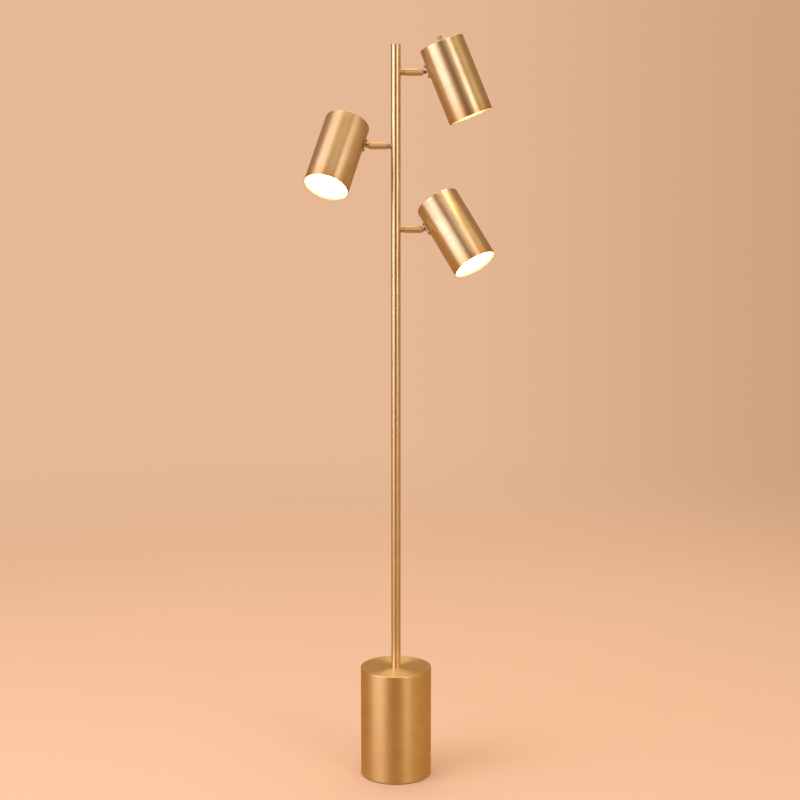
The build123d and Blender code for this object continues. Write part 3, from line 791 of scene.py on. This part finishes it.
knob = {
    "edge": 0.6 * mm, "flutes": 20, "flute": 0.6 * mm, "recess": 3.9 * mm, "recessDepth": 2.4 * mm,
    "stem": 1.5 * mm, "gap": 0.4 * mm, "dish": 0.25 * mm, "dishFloor": 0.62, "dishRim": 0.70,
    "dishEdge": 0.3 * mm, "rimEdge": 0.2 * mm, "sideEdge": 0.25 * mm, "chamfer": (0.3 * mm, 0.4 * mm),
    "steps": 240,
}
nut = {"across": 5.0 * mm, "corner": 1.155, "chamfer": 0.35 * mm, "bore": 3.55 * mm, "steps": 96}
knobBrass = brushedBrass("knobBrass", gloss=0.24, grain=0.2, lines=3600.0, ageing=0.8, marks=90.0,
                         tintAndPaintedLight=(0.76, 0.68, 0.56))


def makeKnob(head, start):
    low, high = reach(head.node("switch_knob"), head.shade)
    outer, end = high.y, low.z
    centre = outer + knob["flute"] / 3
    pitch = 2 * pi / knob["flutes"]

    def fluted(angle, r, z):
        offset = (angle + pitch / 2) % pitch - pitch / 2
        side = centre * sin(offset)
        if abs(side) >= knob["flute"]:
            return r
        return min(r, centre * cos(offset) - sqrt(knob["flute"] ** 2 - side ** 2))

    floor, dish = start - knob["recessDepth"], end + knob["dish"]
    stepIn, stepBack = knob["chamfer"]
    outline = [
        (0, dish), (outer * knob["dishFloor"], dish, knob["dishEdge"]),
        (outer * knob["dishRim"], end, knob["rimEdge"]), (outer - knob["edge"], end, knob["rimEdge"]),
        (outer, end + knob["edge"], knob["sideEdge"]), (outer, start - stepBack, knob["rimEdge"]),
        (outer - stepIn, start), (knob["recess"], start), (knob["recess"], floor),
        (knob["stem"], floor), (knob["stem"], high.z), (0, high.z),
    ]
    piece = turned(head.name + "SwitchKnob", outline, head.shade, knob["steps"], closed=False, shape=fluted)
    dress(piece, knobBrass, head.knob, head.node("switch_knob"))


def makeSwitchNut(head, top):
    across = nut["across"]
    corner = across * nut["corner"]

    def hexagon(angle, r, z):
        return min(r, across / cos((angle % (pi / 3)) - pi / 6))

    outline = [
        (nut["bore"], 0), (corner, 0), (corner, top + nut["chamfer"]), (across, top), (nut["bore"], top),
    ]
    piece = turned(head.name + "SwitchNut", outline, head.shade, nut["steps"], shape=hexagon)
    dress(piece, smallBrass, head.spot, head.node("switch_nut"))


bulb = {
    "neck": 13.5 * mm, "glass": 1.0 * mm, "globeSteps": 28, "steps": 96,
    "tip": 4.5 * mm, "tipHeight": 1.5 * mm, "tipEdge": 0.6 * mm, "shoulder": 6.1 * mm, "capSteps": 64,
    "pitch": 3.6 * mm, "thread": 0.7 * mm, "threadFrom": 1 * mm, "threadTo": 4 * mm, "threadRows": 40,
}


def globeOutline(radius, neck, centre, low):
    # a ball, and the cone that runs off it down to the neck
    drop = centre - low
    swing = atan2(neck, drop) + acos(radius / hypot(neck, drop))
    points = [(neck, low)]
    for k in range(bulb["globeSteps"] + 1):
        a = swing + (pi - swing) * k / bulb["globeSteps"]
        points.append((max(radius * sin(a), 0.0), centre - radius * cos(a)))
    return points


def makeGlobe(head):
    low, high = reach(head.node("bulb_globe"), head.shade)
    ball, neck, glass = high.y, bulb["neck"], bulb["glass"]
    centre = high.z - ball
    outside = globeOutline(ball, neck, centre, low.z)
    inside = globeOutline(ball - glass, neck - glass, centre, low.z)
    piece = turned(head.name + "BulbGlobe", outside + inside[::-1], head.shade, bulb["steps"])
    finish = opalGlass(head.name + "OpalGlass", low.z, centre)
    dress(piece, finish, head.spot, head.node("bulb_globe"))


def makeBulbCap(head):
    low, high = reach(head.node("bulb_cap"), head.shade)
    r = high.y
    shoulder = low.z + bulb["shoulder"]

    def threaded(angle, size, z):
        if size < r * 0.99 or not shoulder + bulb["threadFrom"] < z < high.z - bulb["threadTo"]:
            return size
        return size - bulb["thread"] * (0.5 - 0.5 * cos(angle - 2 * pi * z / bulb["pitch"]))

    rows = bulb["threadRows"]
    side = [(r, shoulder + (high.z - shoulder) * k / rows) for k in range(rows + 1)]
    contact = [(0, low.z), (bulb["tip"], low.z, bulb["tipEdge"]), (bulb["tip"], low.z + bulb["tipHeight"])]
    outline = contact + side + [(0, high.z)]
    piece = turned(head.name + "BulbCap", outline, head.shade, bulb["capSteps"], closed=False,
                   shape=threaded, sharpness=sharpFrom["thread"])
    dress(piece, capMetal, head.spot, head.node("bulb_cap"))


holder = {
    "bore": 3 * mm, "nipple": 5 * mm, "nippleHeight": 7 * mm, "nippleEdge": 0.4 * mm,
    "waist": 12 * mm, "waistHeight": 5 * mm, "waistEdge": 0.8 * mm, "skirt": 8.5 * mm, "skirtEdge": 1.5 * mm,
    "band": (7 * mm, 4.5 * mm), "mouthEdge": 0.8 * mm, "socket": 13.9 * mm, "socketDepth": 26 * mm,
    "socketEdge": 0.6 * mm, "rib": 0.5 * mm, "ribs": 36, "plainMouth": 5 * mm, "steps": 216,
}


def makeHolder(head):
    low, high = reach(head.node("lampholder"), head.shade)
    outer, mouth = high.y, high.z
    seat = low.z + holder["nippleHeight"]
    floor = mouth - holder["socketDepth"]
    bore, nipple, waist, socket = (holder[part] for part in ("bore", "nipple", "waist", "socket"))

    def ribbed(angle, r, z):
        if r < outer * 0.9 or z > mouth - holder["plainMouth"]:
            return r
        return r - holder["rib"] * (0.5 - 0.5 * cos(angle * holder["ribs"])) ** 2

    outline = [
        (bore, low.z), (nipple, low.z, holder["nippleEdge"]), (nipple, seat),
        (waist, seat, holder["waistEdge"]), (waist, seat + holder["waistHeight"]),
        (outer, seat + holder["skirt"], holder["skirtEdge"]),
        (outer, mouth - holder["band"][0]), (outer, mouth - holder["band"][1]),
        (outer, mouth, holder["mouthEdge"]), (socket, mouth, holder["socketEdge"]),
        (socket, floor), (bore, floor),
    ]
    piece = turned(head.name + "Lampholder", outline, head.shade, holder["steps"], shape=ribbed)
    dress(piece, blackPlastic, head.spot, head.node("lampholder"))


for name in heads:
    head = Head(name)
    shadeRadius = reach(head.node("shade"), head.shade)[1].y
    nutTop = reach(head.node("switch_nut"), head.shade)[0].z
    makeShade(head)
    makeKnuckle(head, makeArm(head))
    makePlate(head, shadeRadius)
    makePlateScrews(head, shadeRadius)
    makeKnob(head, nutTop - knob["gap"])
    makeSwitchNut(head, nutTop)
    makeGlobe(head)
    makeBulbCap(head)
    makeHolder(head)
    print(name, "head made")


# CAD pieces that stay get their finish

slotOf = {part["node"]: part["material_slot"] for part in frame["record"]["subparts"]}
for name, node in nodes.items():
    node.data.materials.clear()
    node.data.materials.append(hiddenFinish.get(slotOf.get(name), zincSteel))


# stage: a pale floor that runs out into the backdrop's colour

stage = {
    "floor": (0.80, 0.545, 0.385), "floorShade": (0.77, 0.52, 0.36), "shadeShare": 0.12, "cloudScale": 1.4,
    "fade": (1.5, 3.6), "floorSize": 9.0, "floorSteps": 96, "ambient": (0.76, 0.66, 0.54),
    "backdrop": (0.790, 0.480, 0.305), "backdropRight": (0.60, 0.345, 0.195), "turn": (-0.02, 0.28),
}


def makeFloor():
    bm = bmesh.new()
    bmesh.ops.create_circle(bm, cap_ends=True, segments=stage["floorSteps"], radius=stage["floorSize"])
    floor = addObject("floor", meshFrom("floor", bm), upright)
    material, s = newMaterial("paleFloor")
    spot = s.spot()
    x, y = s.axes(spot)[:2]
    clouds = s.noise(spot, stage["cloudScale"], 3.0, 0.5)
    tone = s.mix(clouds * stage["shadeShare"], stage["floor"], stage["floorShade"])
    paint = s.node("ShaderNodeBsdfDiffuse", {}, {"Color": tone})["BSDF"]
    clear = s.node("ShaderNodeBsdfTransparent")["BSDF"]
    edge = s.between((x * x + y * y) ** 0.5, *stage["fade"])
    mixed = s.node("ShaderNodeMixShader", {}, {0: edge, 1: paint, 2: clear})
    s.node("ShaderNodeOutputMaterial", {}, {"Surface": mixed[0]})
    floor.data.materials.append(material)
    floor.visible_glossy = False  # the metal sees the dim room's ground instead


def makeWorld():
    world = bpy.data.worlds.new("studio")
    world.use_nodes = True
    world.node_tree.nodes.clear()
    s = Shading(world.node_tree)
    rays = s.node("ShaderNodeLightPath")
    seen = s.maths("MAXIMUM", rays["Is Camera Ray"], rays["Is Glossy Ray"])
    seen = s.maths("MAXIMUM", seen, rays["Is Transmission Ray"])
    toRight = s.axes(s.node("ShaderNodeTexCoord")["Generated"])[0]
    backdrop = s.mix(s.between(toRight, *stage["turn"]), stage["backdrop"], stage["backdropRight"])
    colour = s.mix(seen, stage["ambient"], backdrop)
    light = s.node("ShaderNodeBackground", {}, {"Color": colour, "Strength": 1.0})
    s.node("ShaderNodeOutputWorld", {}, {"Surface": light["Background"]})
    bpy.context.scene.world = world


def around(azimuth, distance, height):
    # azimuth 0 is towards the camera, 90 to its right
    a = radians(azimuth)
    return Vector((sin(a) * distance, -cos(a) * distance, height))


softBoxes = {
    "keyBox": {"azimuth": -60, "distance": 2.5, "height": 2.07, "size": (2.25, 2.9), "watts": 49,
               "aim": 1.5, "colour": (0.89, 0.84, 1.0)},
    "stripBox": {"azimuth": 38, "distance": 2.5, "height": 1.82, "size": (0.76, 1.9), "watts": 14,
                 "aim": 1.6, "colour": (0.96, 0.92, 1.0)},
    "highBox": {"azimuth": 6, "distance": 2.3, "height": 3.2, "size": (1.4, 0.34), "watts": 3.4,
                "aim": 1.5, "colour": (0.95, 0.92, 1.0)},
    "sideBox": {"azimuth": 78, "distance": 2.2, "height": 2.7, "size": (0.75, 1.2), "watts": 1.3,
                "aim": 1.4, "colour": (1.0, 0.60, 0.50)},
    "topBox": {"azimuth": 180, "distance": 0.9, "height": 3.3, "size": (1.8, 1.6), "watts": 21,
               "aim": 1.0, "colour": (1.0, 0.72, 0.42)},
}


def makeLights():
    for name, box in softBoxes.items():
        lamp = bpy.data.lights.new(name, "AREA")
        lamp.shape = "RECTANGLE"
        lamp.size, lamp.size_y = box["size"]
        lamp.energy = box["watts"]
        lamp.color = box["colour"]
        light = bpy.data.objects.new(name, lamp)
        bpy.context.scene.collection.objects.link(light)
        light.location = around(box["azimuth"], box["distance"], box["height"])
        towards = Vector((0, 0, box["aim"])) - light.location
        light.rotation_euler = towards.to_track_quat("-Z", "Y").to_euler()
        light.visible_camera = False


# what the metal sees round the lights: a dim room with a dark strip behind the camera

studio = {
    "radius": 3.4, "low": -0.02, "high": 4.6, "steps": 72,
    "front": (0.125, 0.070, 0.028), "side": (0.58, 0.455, 0.22), "dim": (0.37, 0.225, 0.13),
    "behind": (0.42, 0.255, 0.107), "ground": (0.54, 0.270, 0.085), "ceiling": (0.50, 0.36, 0.185),
    # where one wall colour fades into the next, in degrees, 0 towards the camera and 90 to its right
    "frontStart": (-31, -15), "frontEnd": (26, 10), "sideEnd": (75, 115), "dimEnd": (142, 167),
}


def makeStudio():
    steps, low, high = studio["steps"], studio["low"], studio["high"]
    bm = bmesh.new()
    rings = [[bm.verts.new(around(360 * k / steps, studio["radius"], z)) for k in range(steps)]
             for z in (low, high)]
    for k in range(steps):
        after = (k + 1) % steps
        bm.faces.new((rings[0][k], rings[0][after], rings[1][after], rings[1][k]))
    bm.faces.new(rings[0])
    bm.faces.new(rings[1])
    room = addObject("dimRoom", meshFrom("dimRoom", bm), upright)
    material, s = newMaterial("dimRoomPaint")
    x, y, z = s.axes(s.spot())
    angle = s.maths("ARCTAN2", x, 0.0 - y) * (180 / pi)
    front = s.between(angle, *studio["frontStart"]) * s.between(angle, *studio["frontEnd"])
    away = s.maths("ABSOLUTE", angle)
    wall = s.mix(s.between(away, *studio["sideEnd"]), studio["side"], studio["dim"])
    wall = s.mix(s.between(away, *studio["dimEnd"]), wall, studio["behind"])
    wall = s.mix(front, wall, studio["front"])
    colour = s.mix(z < low + 10 * mm, wall, studio["ground"])
    colour = s.mix(z > high - 10 * mm, colour, studio["ceiling"])
    light = s.node("ShaderNodeEmission", {}, {"Color": colour, "Strength": 1.0})["Emission"]
    s.node("ShaderNodeOutputMaterial", {}, {"Surface": light})
    room.data.materials.append(material)
    room.visible_camera = room.visible_diffuse = room.visible_transmission = False
    room.visible_shadow = room.visible_volume_scatter = False


view = {"distance": 3.8503, "height": 1.5097, "side": 0.0087, "down": 10.06, "lens": 83.35, "sensor": 36}


def makeCamera():
    data = bpy.data.cameras.new("camera")
    data.lens = view["lens"]
    data.sensor_width = view["sensor"]
    camera = bpy.data.objects.new("camera", data)
    bpy.context.scene.collection.objects.link(camera)
    camera.location = (view["side"], -view["distance"], view["height"])
    camera.rotation_euler = (radians(90 - view["down"]), 0, 0)
    bpy.context.scene.camera = camera
    bpy.context.scene.view_settings.view_transform = "Standard"


makeFloor()
makeWorld()
makeLights()
makeStudio()
makeCamera()
print("stage, lights and camera made")
